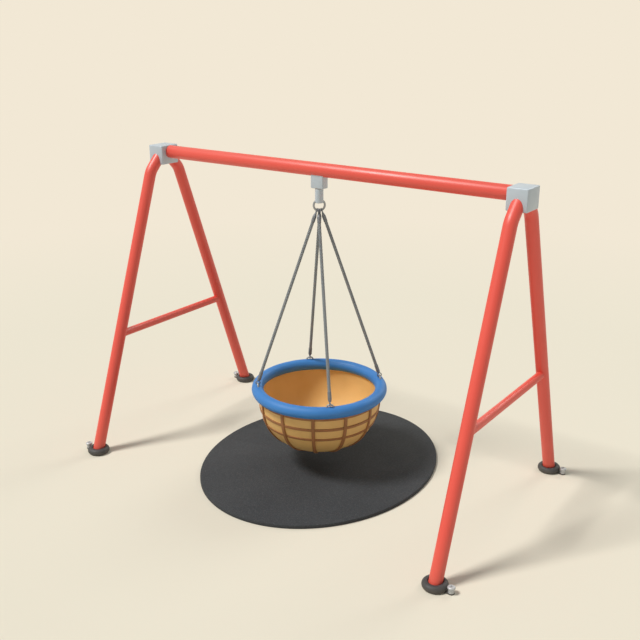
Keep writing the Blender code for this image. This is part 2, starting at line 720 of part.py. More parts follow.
def make_ribs(meridian, marks, strip):
    line = meridian[1:-1]
    shift = 1
    top = RIM_HEIGHT - PAD_RADIUS - 2 * GAP
    line = [(line[0][0], top)] + list(line[1:])
    end = line[-1]
    line[-1] = (BOSS_RADIUS + 2 * GAP, end[1])
    close = offset_line(line, GAP)
    far = offset_line(line, GAP + RIB_THICKNESS)
    # The hoop's flats lie further in at the strip's edges than at its middle
    flats = RIB_WIDTH / 2 * math.tan(math.pi / ROUND_STEPS)
    near = []
    for i, point in enumerate(close):
        near.append(point)
        if i + shift in marks:
            nxt = close[i + 1]
            run = (Vector(nxt) - Vector(point)).normalized()
            out = Vector((-run.y, run.x)) * (HOOP_THICKNESS + GAP)
            first = Vector(point) - run * GAP
            second = Vector(nxt) + run * (GAP + flats * abs(run.x))
            near[-1] = tuple(first)
            near += [tuple(first + out), tuple(second + out), tuple(second)]
        elif i - 1 + shift in marks:
            near.pop()
    outline = near + far[::-1]
    curve = bpy.data.curves.new("rib", "CURVE")
    curve.dimensions = "2D"
    curve.fill_mode = "BOTH"
    curve.extrude = RIB_WIDTH / 2
    spline = curve.splines.new("POLY")
    spline.points.add(len(outline) - 1)
    spline.use_cyclic_u = True
    for target, (r, z) in zip(spline.points, outline):
        target.co = (r, z, 0, 1)
    flat = add_object("rib_outline", curve, cutter=True)
    flat.rotation_euler = (math.pi / 2, 0, 0)
    mesh = baked_mesh(flat)
    mesh.materials.append(strip)
    for i in range(RIB_COUNT):
        rib = add_object(f"rib_{i + 1:02d}", mesh)
        rib.rotation_euler = (0, 0, 2 * math.pi * i / RIB_COUNT)


def make_boss(meridian, strip):
    edge, pole = meridian[-2], meridian[-1]
    low = pole[1] - GAP - BOSS_HEIGHT
    outline = [(0, pole[1] - GAP), (edge[0], edge[1] - GAP), (BOSS_RADIUS, low + BOSS_CHAMFER),
               (BOSS_RADIUS - BOSS_CHAMFER, low), (0, low)]
    turned("bowl_boss", outline, ROUND_STEPS, strip)


def add_pivot(name, centre, members):
    """An empty on a joint's axis, with the pieces that move about it as its children."""
    pivot = bpy.data.objects.new(name, None)
    PART.objects.link(pivot)
    pivot.location = centre
    for member in members:
        child = bpy.data.objects[member]
        child.parent = pivot
        child.matrix_parent_inverse = Matrix.Translation(centre).inverted()
    return pivot


def hang_pieces():
    """The basket tips on the ring, the ring rolls in the spindle's eye and the spindle turns."""
    basket = ["rim_core", "rim_padding", "bowl_shell", "bowl_boss", *HOOP_NAMES]
    basket += [f"rib_{i + 1:02d}" for i in range(RIB_COUNT)]
    for place in RIM_AZIMUTHS:
        basket += [f"rope_{place}", f"rope_head_{place}", f"rope_foot_{place}"]
    add_pivot("basket_pivot", (0, 0, BASKET_PIVOT_Z), basket)
    add_pivot("ring_pivot", (0, 0, RING_Z), ["suspension_ring", "basket_pivot"])
    add_pivot("swivel_pivot", (0, 0, HOUSING_BOTTOM),
              ["swivel_spindle", "thrust_cage", "thrust_race_upper", "spindle_nut", "ring_pivot"])


def shade_round_pieces():
    for piece in PART.objects:
        if piece.type == "MESH" and piece.data.polygons:
            piece.data.shade_smooth()
            piece.data.set_sharp_from_angle(angle=math.radians(35))


def main():
    for old in list(bpy.data.objects):
        bpy.data.objects.remove(old)
    for group in (PART, CUTTERS):
        bpy.context.scene.collection.children.link(group)

    red = material("red_powder_coat", (222, 58, 44), 0.35)
    grey = material("cast_aluminium", (170, 178, 178), 0.42, 0.7)
    zinc = material("galvanised_steel", (176, 178, 180), 0.4, 0.9)
    bronze = material("bearing_bronze", (150, 118, 70), 0.4, 0.9)
    steel = material("stainless_steel", (150, 152, 155), 0.3, 1.0)
    cord = material("grey_rope", (112, 114, 114), 0.85)
    blue = material("blue_foam_cover", (40, 104, 186), 0.6)
    tan = material("tan_moulding", (214, 150, 78), 0.5)
    brown = material("brown_strip", (122, 84, 44), 0.55)
    rubber = material("black_rubber", (40, 40, 42), 0.8)
    matting = material("mat_rubber", (66, 66, 68), 0.9)

    make_beam(red)
    for word, side in SIDES.items():
        make_casting(word, side, grey)
        make_brace(word, red)
        for place in ENDS:
            make_leg(place, word, red)
            make_collar(place, word, rubber)
            make_anchor(place, word, zinc)
    make_mat(matting)
    make_swivel(grey, bronze, steel)
    ring_torus("suspension_ring", RING_WIRE, steel)
    make_ropes(steel, cord)
    make_rim(blue, steel)
    make_bowl(tan, brown)
    hang_pieces()
    shade_round_pieces()


main()
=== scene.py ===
"""Looks of the nest swing set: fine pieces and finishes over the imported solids."""

import math

import bpy
from mathutils import Matrix, Vector


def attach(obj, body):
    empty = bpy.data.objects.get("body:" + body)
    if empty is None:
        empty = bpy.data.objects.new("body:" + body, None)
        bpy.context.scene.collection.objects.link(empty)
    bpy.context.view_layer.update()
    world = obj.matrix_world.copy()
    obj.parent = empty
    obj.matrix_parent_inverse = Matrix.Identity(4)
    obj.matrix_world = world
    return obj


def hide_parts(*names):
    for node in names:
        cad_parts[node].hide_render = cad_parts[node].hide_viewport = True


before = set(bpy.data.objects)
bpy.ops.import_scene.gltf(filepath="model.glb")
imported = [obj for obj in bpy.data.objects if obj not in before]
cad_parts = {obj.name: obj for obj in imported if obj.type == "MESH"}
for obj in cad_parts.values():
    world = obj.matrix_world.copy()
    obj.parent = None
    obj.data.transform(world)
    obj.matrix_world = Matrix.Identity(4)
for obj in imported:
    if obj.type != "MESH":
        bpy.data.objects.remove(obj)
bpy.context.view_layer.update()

# Lengths in metres, shared with the solids
GAP = 0.0003
SIDES = {"left": -1, "right": 1}
ENDS = {"front": -1, "rear": 1}

# Beam, corner blocks, legs and braces
BEAM_AXIS_Z = 2.40
BEAM_RADIUS = 0.0517
SPAN = 1.5985
CASTING = Vector((0.150, 0.186, 0.154))
CASTING_Z = BEAM_AXIS_Z - 0.0236
CASTING_EDGE = 0.0085
LEG_RADIUS = 0.0468
LEG_BEND_RADIUS = 0.16
LEG_FOOT_Y = 0.9594
LEG_CORNER_Y = 0.160
LEG_CORNER_Z = 2.25
LEG_AIM_Z = 2.4145
BRACE_Z = 0.954
BRACE_RADIUS = 0.0307
WELD = 0.0035
WELD_RUN = 0.12

# Feet: plate with its ear, collar and ground bolt
FOOT_Y = 0.952
PLATE_RADIUS = 0.064
PLATE_TOP = 0.008
EAR_RADIUS = 0.0215
ARM_WIDTH = 0.042
COLLAR_RADIUS = 0.0885
COLLAR_SECTION = 0.0270
COLLAR_TOP = 0.050
COLLAR_MOUTH_Z = 0.034
COLLAR_MOUTH_PLAY = 0.0065
EAR_NOTCH = (0.12, 0.0436, 0.0186)
EAR_NOTCH_X = SPAN + 0.06
EAR_NOTCH_Z = -0.001
BOLT_X = SPAN + 0.1165
BOLT_SHANK = 0.0078
BOLT_SLEEVE = 0.0205
BOLT_SLEEVE_HEIGHT = 0.030
BOLT_HEAD = ((0.0250, 0), (0.0264, 0.0012), (0.0270, 0.0035), (0.0268, 0.0070), (0.0257, 0.0104),
             (0.0234, 0.0131), (0.0198, 0.0149), (0.0150, 0.0158), (0.0095, 0.0160))
BOLT_DRIVE_RADIUS = 0.0070
BOLT_DRIVE_DEPTH = 0.012

# Mat
MAT_HALF_X = 0.903
MAT_HALF_Y = 1.073
MAT_X = 0.015
MAT_TOP = 0.0276

# Swivel head and ring
HOUSING_LENGTH = 0.110
HOUSING_WIDTH = 0.070
HOUSING_TOP = BEAM_AXIS_Z - BEAM_RADIUS + 0.030
HOUSING_BOTTOM = 2.262
HOUSING_EDGE = 0.007
HOUSING_BORE = 0.0206
SHANK_RADIUS = 0.0148
SHANK_TOP = 2.3425
NECK_TOP = HOUSING_BOTTOM - 0.0036
NECK_BOTTOM = NECK_TOP - 0.1067
NECK_RADIUS = 0.0315
NECK_ROUNDING = 0.007
NECK_CHAMFER = 0.0012
RING_Z = NECK_BOTTOM - 0.017
RING_RADIUS = 0.042
RING_WIRE = 0.008
RING_WAY = Vector((math.sqrt(0.5), math.sqrt(0.5), 0))
RING_NORMAL = Vector((math.sqrt(0.5), -math.sqrt(0.5), 0))
EYE_CLEARANCE = 0.0005

# Ropes and their end terminals
ROPES = {"front": -45, "right": 45, "rear": 135, "left": -135}
HEAD_ANGLES = {"left": -26, "front": -6.5, "rear": 6.5, "right": 26}
EYE_INNER = 0.012
EYE_WIRE = 0.004
EYE_DROP = 0.0009
SLEEVE_END = 0.090
SLEEVE_RADIUS = 0.0148
SLEEVE_MOUTH = 0.0125
GROOVES = (0.080, 0.070, 0.060)
GROOVE_DEPTH = 0.0007
GROOVE_HALF_FLOOR = 0.0012
GROOVE_HALF_WIDTH = 0.0022
UPPER_CONE = (0.0062, 0.046)
LOWER_CONE = (0.0095, 0.030)
ROPE_RADIUS = 0.0125
ROPE_SEAT = 0.0523
ROPE_LAY = 0.150
STRANDS = 6
STRAND_RADIUS = 0.0048

# Basket: rim, bowl, hoops, ribs and boss
RIM_Z = 0.660
RIM_RADIUS = 0.4925
PAD_RADIUS = 0.0475
CORE_RADIUS = 0.010
LOOP_RADIUS = 0.029
LOOP_WIRE = 0.006
LOOP_RISE = 0.038
SHELL_RADIUS = RIM_RADIUS - CORE_RADIUS - GAP
SHELL_WALL = 0.008
BOWL_START = RIM_Z - 0.0335
BOWL_DEPTH = 0.457
BOWL_POWER = 2.42
HOOPS = (("hoop_upper", 0.063, 0.018), ("hoop_middle", 0.153, 0.022), ("hoop_lower", 0.245, 0.020))
HOOP_THICKNESS = 0.006
RIBS = 12
RIB_WIDTH = 0.026
RIB_THICKNESS = 0.010
BOSS_RADIUS = 0.056
BOSS_DEPTH = 0.013
SEAM_ANGLE = math.radians(148)
SEAM_WIDTH = 0.045
SEAM_DEPTH = 0.0012
DIP_SIZE = 0.085
DIP_DEPTH = 0.0016
SKIN = 0.9

# Camera, floor and light
CAMERA_PLACE = (3.8194, -5.3268, 3.5096)
CAMERA_YAW = 0.6212
CAMERA_PITCH = -0.3351
FOCAL_PIXELS = 890.4
PICTURE_PIXELS = 640
SENSOR_MM = 36
FLOOR_SIZE = 60
FLOOR_Z = -0.0008
FLOOR_COLOUR = (233, 225, 207)
FLOOR_FADE = (4.5, 9.0)
BACKDROP = (242, 232, 213)
LAMPS = (("key", 2.52, 14, (1.0, 0.99, 0.97), (-0.449, -0.512, 1)),
         ("fill", 0.55, 24, (0.96, 1.0, 0.98), (0.25, 1.6, 1)))
SKY_COLOUR = (244, 250, 250)
SKY_STRENGTH = 0.31


# ---- camera, floor and light ----

def place_camera():
    """The photograph's viewing angle."""
    flat = math.cos(CAMERA_PITCH)
    ahead = Vector((-math.sin(CAMERA_YAW) * flat, math.cos(CAMERA_YAW) * flat, math.sin(CAMERA_PITCH)))
    across = ahead.cross(Vector((0, 0, 1))).normalized()
    lens = bpy.data.cameras.new("camera")
    lens.lens = FOCAL_PIXELS * SENSOR_MM / PICTURE_PIXELS
    camera = bpy.data.objects.new("camera", lens)
    bpy.context.scene.collection.objects.link(camera)
    camera.matrix_world = Matrix((across, across.cross(ahead), -ahead)).transposed().to_4x4()
    camera.location = CAMERA_PLACE
    bpy.context.scene.camera = camera


def lay_floor():
    start()
    bpy.ops.mesh.primitive_plane_add(size=FLOOR_SIZE, location=(0, 0, FLOOR_Z))
    floor = bpy.context.active_object
    floor.name = "floor"
    floor.data.materials.append(floor_finish())


def hang_lamps():
    """A soft key light from the left and a weak fill light from behind."""
    for name, energy, angle, colour, toward in LAMPS:
        sun = bpy.data.lights.new(name, "SUN")
        sun.energy = energy
        sun.angle = math.radians(angle)
        sun.color = colour
        lamp = bpy.data.objects.new(name, sun)
        bpy.context.scene.collection.objects.link(lamp)
        lamp.rotation_euler = Vector(toward).to_track_quat("Z", "Y").to_euler()


def light_sky():
    """Even light all round; the camera and the reflections see the plain backdrop in its place."""
    world = bpy.data.worlds.new("studio")
    bpy.context.scene.world = world
    world.use_nodes = True
    tree = world.node_tree
    light = tree.nodes["Background"]
    light.inputs["Color"].default_value = (*srgb(*SKY_COLOUR), 1)
    light.inputs["Strength"].default_value = SKY_STRENGTH
    seen = tree.nodes.new("ShaderNodeBackground")
    seen.inputs["Color"].default_value = (*srgb(*BACKDROP), 1)
    rays = tree.nodes.new("ShaderNodeLightPath").outputs
    both = tree.nodes.new("ShaderNodeMixShader")
    tree.links.new(joined(tree, "MAXIMUM", rays["Is Camera Ray"], rays["Is Glossy Ray"]), both.inputs["Fac"])
    tree.links.new(light.outputs["Background"], both.inputs[1])
    tree.links.new(seen.outputs["Background"], both.inputs[2])
    tree.links.new(both.outputs["Shader"], tree.nodes["World Output"].inputs["Surface"])


def studio():
    bpy.context.scene.view_settings.view_transform = "Standard"
    place_camera()
    lay_floor()
    hang_lamps()
    light_sky()


# ---- nodes that the finishes share ----

def srgb(red, green, blue):
    """Three channels from 0 to 255 as the linear values that a shader takes."""
    return tuple(c / 255 / 12.92 if c <= 10 else ((c / 255 + 0.055) / 1.055) ** 2.4
                 for c in (red, green, blue))


def feed(tree, socket, value):
    """Links another socket to this one, or sets it to a plain value."""
    if isinstance(value, bpy.types.NodeSocket):
        tree.links.new(value, socket)
    else:
        socket.default_value = value


def noise(tree, vector, scale, detail=3.0):
    node = tree.nodes.new("ShaderNodeTexNoise")
    node.inputs["Detail"].default_value = detail
    tree.links.new(vector, node.inputs["Vector"])
    feed(tree, node.inputs["Scale"], scale)
    return node.outputs["Fac"]


def ramped(tree, value, low, high, out_low=0.0, out_high=1.0):
    """The value's way from low to high, as one from out_low to out_high."""
    node = tree.nodes.new("ShaderNodeMapRange")
    tree.links.new(value, node.inputs["Value"])
    for label, end in (("From Min", low), ("From Max", high), ("To Min", out_low), ("To Max", out_high)):
        feed(tree, node.inputs[label], end)
    return node.outputs["Result"]


def joined(tree, operation, first, second=0.0):
    """Two values brought together by one step of arithmetic."""
    node = tree.nodes.new("ShaderNodeMath")
    node.operation = operation
    feed(tree, node.inputs[0], first)
    feed(tree, node.inputs[1], second)
    return node.outputs["Value"]


def mixed(tree, factor, first, second):
    """Two colours mixed by a factor."""
    node = tree.nodes.new("ShaderNodeMix")
    node.data_type = "RGBA"
    for label, value in (("Factor", factor), ("A", first), ("B", second)):
        feed(tree, next(s for s in node.inputs if s.name == label and s.enabled), value)
    return next(s for s in node.outputs if s.enabled)


def object_place(tree):
    return tree.nodes.new("ShaderNodeTexCoord").outputs["Object"]


def shared_group(name, inputs, outputs):
    """A node group with its named sockets, and its inner tree's ends."""
    group = bpy.data.node_groups.new(name, "ShaderNodeTree")
    for label, value in inputs.items():
        kind = "NodeSocketColor" if isinstance(value, tuple) else "NodeSocketFloat"
        socket = group.interface.new_socket(label, in_out="INPUT", socket_type=kind)
        socket.default_value = value
    for label in outputs:
        kind = "NodeSocketColor" if label == "Colour" else "NodeSocketFloat"
        group.interface.new_socket(label, in_out="OUTPUT", socket_type=kind)
    given = group.nodes.new("NodeGroupInput").outputs
    return group, given, group.nodes.new("NodeGroupOutput").inputs


def tone_group():
    """Slow drifts of tone, fine specks and dust that settles low, over one base colour."""
    group, given, put = shared_group("tone_and_dust", {
        "Colour": (0.5, 0.5, 0.5, 1), "Second Colour": (0.4, 0.4, 0.4, 1),
        "Dust Colour": (0.5, 0.45, 0.38, 1), "Drift Scale": 4.0, "Speck Scale": 300.0, "Drift": 0.3,
        "Specks": 0.2, "Dust Height": 0.05, "Dust": 0.2, "Roughness": 0.5, "Roughness Drift": 0.08},
        ("Colour", "Roughness"))
    place = object_place(group)
    drift = ramped(group, noise(group, place, given["Drift Scale"]), 0.35, 0.7)
    speck = ramped(group, noise(group, place, given["Speck Scale"], 2.0), 0.5, 0.72)
    share = joined(group, "ADD", joined(group, "MULTIPLY", drift, given["Drift"]),
                   joined(group, "MULTIPLY", speck, given["Specks"]))
    toned = mixed(group, share, given["Colour"], given["Second Colour"])
    split = group.nodes.new("ShaderNodeSeparateXYZ")
    group.links.new(place, split.inputs[0])
    low = ramped(group, split.outputs["Z"], given["Dust Height"], 0.0)
    patches = ramped(group, noise(group, place, 22.0), 0.3, 0.62, 0.25, 1.0)
    dusty = joined(group, "MULTIPLY", joined(group, "MULTIPLY", low, patches), given["Dust"])
    group.links.new(mixed(group, dusty, toned, given["Dust Colour"]), put["Colour"])
    uneven_gloss = joined(group, "MULTIPLY", joined(group, "SUBTRACT", drift, 0.5), given["Roughness Drift"])
    rough = joined(group, "ADD", given["Roughness"], uneven_gloss)
    group.links.new(joined(group, "ADD", rough, joined(group, "MULTIPLY", dusty, 0.3)), put["Roughness"])
    return group


def grain_group():
    """Heights for a fine moulded, cast or sprayed surface, with a slower ripple under it."""
    group, given, put = shared_group("surface_grain", {
        "Grain Scale": 400.0, "Grain": 1.0, "Ripple Scale": 40.0, "Ripple": 0.5}, ("Height",))
    place = object_place(group)
    fine = joined(group, "MULTIPLY", noise(group, place, given["Grain Scale"], 4.0), given["Grain"])
    slow = joined(group, "MULTIPLY", noise(group, place, given["Ripple Scale"], 2.0), given["Ripple"])
    group.links.new(joined(group, "ADD", fine, slow), put["Height"])
    return group


def cell_group():
    """Pressed rubber granules or zinc crystals: a value for each cell and the dips between cells."""
    group, given, put = shared_group("cells", {"Scale": 250.0}, ("Value", "Height"))
    cell = group.nodes.new("ShaderNodeTexVoronoi")
    group.links.new(object_place(group), cell.inputs["Vector"])
    group.links.new(given["Scale"], cell.inputs["Scale"])
    split = group.nodes.new("ShaderNodeSeparateColor")
    group.links.new(cell.outputs["Color"], split.inputs[0])
    group.links.new(split.outputs[0], put["Value"])
    group.links.new(joined(group, "SUBTRACT", 1.0, cell.outputs["Distance"]), put["Height"])
    return group


def weave_group():
    """A plain weave that follows the piece's own UV map: two sets of threads, over and under."""
    group, given, put = shared_group("weave", {"Across": 100.0, "Along": 100.0}, ("Height", "Thread"))
    split = group.nodes.new("ShaderNodeSeparateXYZ")
    group.links.new(group.nodes.new("ShaderNodeTexCoord").outputs["UV"], split.inputs[0])
    threads = []
    for axis, count in (("X", "Across"), ("Y", "Along")):
        turns = joined(group, "MULTIPLY", split.outputs[axis], given[count])
        threads.append(joined(group, "SINE", joined(group, "MULTIPLY", turns, 2 * math.pi)))
    crossing = joined(group, "MULTIPLY", *threads)
    group.links.new(ramped(group, crossing, -1.0, 1.0), put["Height"])
    group.links.new(ramped(group, crossing, -0.6, 0.6), put["Thread"])
    return group


def add_group(tree, name, values):
    """One of the shared groups placed in a material with its own values."""
    node = tree.nodes.new("ShaderNodeGroup")
    node.node_tree = GROUPS[name]
    for label, value in values.items():
        node.inputs[label].default_value = value
    return node


# ---- finishes ----

def tone(drift_scale, speck_scale, drift, specks, dust=0.0, dust_height=0.05, dust_colour=None):
    values = {"Drift Scale": drift_scale, "Speck Scale": speck_scale, "Drift": drift, "Specks": specks,
              "Dust": dust, "Dust Height": dust_height}
    if dust_colour:
        values["Dust Colour"] = (*srgb(*dust_colour), 1)
    return values


def grain(grain_scale, amount, ripple_scale, ripple):
    return {"Grain Scale": grain_scale, "Grain": amount, "Ripple Scale": ripple_scale, "Ripple": ripple}


def granules(scale, light, amount):
    """Cells that shift the tone a little and give the surface its pressed grain."""
    def add(tree, shader, toned, height):
        cells = add_group(tree, "cells", {"Scale": scale}).outputs
        factor = ramped(tree, cells["Value"], 0.55, 0.95, 0.0, amount)
        colour = mixed(tree, factor, toned, (*srgb(*light), 1))
        tree.links.new(colour, shader.inputs["Base Color"])
        return joined(tree, "ADD", joined(tree, "MULTIPLY", cells["Height"], 1.6), height)
    return add


def woven(across, along, deep):
    """A weave on the piece's UV map, with shade between the threads."""
    def add(tree, shader, toned, height):
        weave = add_group(tree, "weave", {"Across": across, "Along": along}).outputs
        factor = ramped(tree, weave["Thread"], 0.0, 1.0, 0.35, 0.0)
        colour = mixed(tree, factor, toned, (*srgb(*deep), 1))
        tree.links.new(colour, shader.inputs["Base Color"])
        return joined(tree, "ADD", joined(tree, "MULTIPLY", weave["Height"], 2.0), height)
    return add


def finish_of(name, colour, second, roughness, metallic=0.0, tones=None, grains=None, bump=0.0003,
              extra=None, shine=0.5):
    """A material with drifting tone, dust and a fine surface of its own."""
    made = bpy.data.materials.new(name)
    made.use_nodes = True
    tree = made.node_tree
    shader = tree.nodes["Principled BSDF"]
    shader.inputs["Metallic"].default_value = metallic
    shader.inputs["Specular IOR Level"].default_value = shine
    toned = add_group(tree, "tone", {"Colour": (*srgb(*colour), 1), "Second Colour": (*srgb(*second), 1),
                                     "Roughness": roughness, **(tones or {})}).outputs
    tree.links.new(toned["Colour"], shader.inputs["Base Color"])
    tree.links.new(toned["Roughness"], shader.inputs["Roughness"])
    height = add_group(tree, "grain", grains or {}).outputs["Height"]
    if extra:
        height = extra(tree, shader, toned["Colour"], height)
    surface = tree.nodes.new("ShaderNodeBump")
    surface.inputs["Distance"].default_value = bump
    surface.inputs["Strength"].default_value = 1.0
    tree.links.new(height, surface.inputs["Height"])
    tree.links.new(surface.outputs["Normal"], shader.inputs["Normal"])
    return made


def finishes():
    """Every finish of the object by name. Colours are written as they look, from 0 to 255."""
    rows = {
        "red_powder_coat": dict(
            colour=(234, 82, 67), second=(227, 74, 60), roughness=0.44,
            tones=tone(5.0, 900.0, 0.35, 0.1, dust=0.12, dust_height=0.35, dust_colour=(170, 140, 110)),
            grains=grain(520.0, 0.5, 130.0, 0.5), bump=0.0002, shine=0.8),
        "cast_aluminium": dict(
            colour=(193, 204, 214), second=(183, 194, 204), roughness=0.4, metallic=0.08,
            tones=tone(18.0, 700.0, 0.4, 0.35), grains=grain(420.0, 1.0, 60.0, 0.6), bump=0.0003),
        "galvanised_steel": dict(
            colour=(186, 189, 192), second=(162, 166, 170), roughness=0.46, metallic=0.4,
            tones=tone(40.0, 500.0, 0.3, 0.2, dust=0.1), grains=grain(400.0, 0.3, 40.0, 0.5), bump=0.0001,
            extra=granules(160.0, (214, 217, 220), 0.5)),
        "bearing_bronze": dict(
            colour=(140, 122, 96), second=(118, 102, 80), roughness=0.4, metallic=0.7),
        "stainless_steel": dict(
            colour=(164, 168, 171), second=(144, 148, 151), roughness=0.38, metallic=0.35,
            tones=tone(60.0, 900.0, 0.3, 0.2), grains=grain(800.0, 0.5, 120.0, 0.3), bump=0.0002),
        "pressed_steel": dict(
            colour=(126, 131, 137), second=(110, 115, 121), roughness=0.48, metallic=0.3,
            tones=tone(60.0, 900.0, 0.4, 0.3), grains=grain(800.0, 0.6, 120.0, 0.4), bump=0.0002),
        "grey_rope": dict(
            colour=(156, 162, 166), second=(138, 143, 146), roughness=0.85,
            tones=tone(9.0, 1100.0, 0.3, 0.5), grains=grain(1400.0, 0.8, 300.0, 0.4), bump=0.0004,
            extra=woven(6.0, 420.0, (104, 107, 108))),
        "blue_foam_cover": dict(
            colour=(61, 133, 204), second=(52, 122, 192), roughness=0.55,
            tones=tone(7.0, 700.0, 0.4, 0.2), grains=grain(620.0, 0.4, 26.0, 1.6), bump=0.0006,
            extra=woven(1550.0, 128.0, (45, 107, 178))),
        "tan_moulding": dict(
            colour=(236, 191, 121), second=(226, 179, 108), roughness=0.6,
            tones=tone(6.0, 350.0, 0.6, 0.3), grains=grain(480.0, 0.9, 36.0, 1.2), bump=0.0005),
        "brown_strip": dict(
            colour=(168, 114, 70), second=(146, 98, 58), roughness=0.62,
            tones=tone(14.0, 400.0, 0.6, 0.4), grains=grain(420.0, 1.0, 90.0, 0.8), bump=0.0004),
        "black_rubber": dict(
            colour=(62, 62, 64), second=(54, 54, 56), roughness=0.6,
            tones=tone(20.0, 600.0, 0.4, 0.3, dust=0.28, dust_colour=(150, 138, 120)),
            grains=grain(500.0, 1.0, 70.0, 0.6), bump=0.0003),
        "mat_rubber": dict(
            colour=(60, 62, 65), second=(54, 56, 59), roughness=0.78,
            tones=tone(2.2, 220.0, 0.5, 0.3), grains=grain(500.0, 0.5, 12.0, 0.4), bump=0.0012,
            extra=granules(210.0, (86, 88, 91), 0.45), shine=0.25),
    }
    return {name: finish_of(name, **row) for name, row in rows.items()}


def floor_finish():
    """A plain pale floor that melts into the backdrop's own colour well behind the object."""
    made = bpy.data.materials.new("pale_floor")
    made.use_nodes = True
    tree = made.node_tree
    shader = tree.nodes["Principled BSDF"]
    shader.inputs["Base Color"].default_value = (*srgb(*FLOOR_COLOUR), 1)
    shader.inputs["Roughness"].default_value = 0.95
    shader.inputs["Specular IOR Level"].default_value = 0.0
    plain = tree.nodes.new("ShaderNodeEmission")
    plain.inputs["Color"].default_value = (*srgb(*BACKDROP), 1)
    reach = tree.nodes.new("ShaderNodeVectorMath")
    reach.operation = "LENGTH"
    tree.links.new(object_place(tree), reach.inputs[0])
    both = tree.nodes.new("ShaderNodeMixShader")
    tree.links.new(ramped(tree, reach.outputs["Value"], *FLOOR_FADE), both.inputs["Fac"])
    tree.links.new(shader.outputs["BSDF"], both.inputs[1])
    tree.links.new(plain.outputs["Emission"], both.inputs[2])
    tree.links.new(both.outputs["Shader"], tree.nodes["Material Output"].inputs["Surface"])
    return made


# ---- modelling moves ----

def start():
    """Nothing selected, in object mode."""
    if bpy.context.active_object and bpy.context.active_object.mode != "OBJECT":
        bpy.ops.object.mode_set(mode="OBJECT")
    bpy.ops.object.select_all(action="DESELECT")


def only(piece):
    start()
    piece.select_set(True)
    bpy.context.view_layer.objects.active = piece
    return piece


def edit(action="SELECT"):
    bpy.ops.object.mode_set(mode="EDIT")
    bpy.ops.mesh.select_all(action=action)


def edit_chosen():
    """Edit mode with what the code has selected, and nothing more."""
    bpy.ops.object.mode_set(mode="EDIT")


def done():
    bpy.ops.object.mode_set(mode="OBJECT")
    return bpy.context.active_object


def settled():
    """Back in object mode, with the piece's place fixed in its mesh."""
    piece = done()
    bpy.ops.object.transform_apply(location=True, rotation=True, scale=True)
    return piece


def drawn_out(step):
    """The selected edges or faces extruded by one step."""
    bpy.ops.mesh.extrude_region_move(TRANSFORM_OT_translate={"value": tuple(step)})


def facing_out():
    """All faces of the open piece turned outwards."""
    bpy.ops.mesh.select_all(action="SELECT")
    bpy.ops.mesh.normals_make_consistent(inside=False)


def ring_stack(rings, sides, centre=(0, 0, 0), closed=False):
    """Rings drawn out one from the next up a vertical axis, each scaled to its own radius."""
    x, y, z = centre
    start()
    bpy.ops.mesh.primitive_circle_add(vertices=sides, radius=rings[0][0], location=(x, y, z + rings[0][1]))
    edit()
    for (last, low), (radius, high) in zip(rings, rings[1:]):
        drawn_out((0, 0, high - low))
        share = radius / last
        bpy.ops.transform.resize(value=(share, share, 1), center_override=(x, y, z + high))
    if closed:
        bpy.ops.mesh.select_all(action="DESELECT")
        bpy.ops.mesh.select_non_manifold()
        bpy.ops.mesh.bridge_edge_loops()
    else:
        bpy.ops.mesh.select_all(action="SELECT")
        bpy.ops.mesh.fill_holes(sides=0)
    facing_out()
    return settled()


def bar(radius, points, sides, bends=None):
    """A round bar drawn out from a disc: straight runs between points, spun where bends gives an arc."""
    start()
    points = [Vector(p) for p in points]
    way = (points[1] - points[0]).normalized()
    bpy.ops.mesh.primitive_circle_add(vertices=sides, radius=radius, fill_type="NGON", location=points[0],
                                      rotation=way.to_track_quat("Z", "Y").to_euler())
    edit()
    for i in range(1, len(points)):
        arc = (bends or {}).get(i)
        if arc:
            centre, axis, angle, steps = arc
            bpy.ops.mesh.spin(steps=steps, angle=-angle, center=centre, axis=axis, dupli=False)
        else:
            drawn_out(points[i] - points[i - 1])
    bpy.ops.mesh.select_all(action="SELECT")
    bpy.ops.mesh.remove_doubles(threshold=0.00001)
    facing_out()
    return settled()


def block(size, centre, edge, segments=3):
    """A block with its edges rounded in edit mode."""
    start()
    bpy.ops.mesh.primitive_cube_add(size=1, location=centre, scale=size)
    bpy.ops.object.transform_apply(location=True, rotation=True, scale=True)
    edit()
    bpy.ops.mesh.bevel(offset=edge, segments=segments, affect="EDGES")
    return done()


def wire_ring(radius, wire, steps, sides, centre, turn=(0, 0, 0)):
    start()
    bpy.ops.mesh.primitive_torus_add(major_radius=radius, minor_radius=wire, major_segments=steps,
                                     minor_segments=sides, location=centre, rotation=turn)
    return bpy.context.active_object


def cut(piece, tool, operation="DIFFERENCE"):
    """The piece less the tool, or united or intersected with it. The tool is used up."""
    only(piece)
    step = piece.modifiers.new("cut", "BOOLEAN")
    step.operation = operation
    step.solver = "EXACT"
    step.object = tool
    bpy.ops.object.modifier_apply(modifier="cut")
    bpy.data.objects.remove(tool)
    return piece


def merged(piece):
    """Points that the cuts left on each other become one, so faces without area go, and all is closed."""
    only(piece)
    edit()
    bpy.ops.mesh.remove_doubles(threshold=0.00001)
    bpy.ops.mesh.fill_holes(sides=0)
    return done()


def below(x, y, z):
    """A wide block that cuts away what lies under a height."""
    return block((0.4, 0.4, 0.4), (x, y, z - 0.2), 0.001, 1)


def soften(piece, width, segments=2, angle=40):
    """A small rounding along every edge that is sharper than the angle."""
    only(piece)
    step = piece.modifiers.new("soften", "BEVEL")
    step.width = width
    step.segments = segments
    step.limit_method = "ANGLE"
    step.angle_limit = math.radians(angle)
    bpy.ops.object.modifier_apply(modifier="soften")
    return piece


def thicken(piece, thickness, offset, even):
    only(piece)
    wall = piece.modifiers.new("wall", "SOLIDIFY")
    wall.thickness = thickness
    wall.offset = offset
    wall.use_even_offset = even
    bpy.ops.object.modifier_apply(modifier="wall")
    return piece


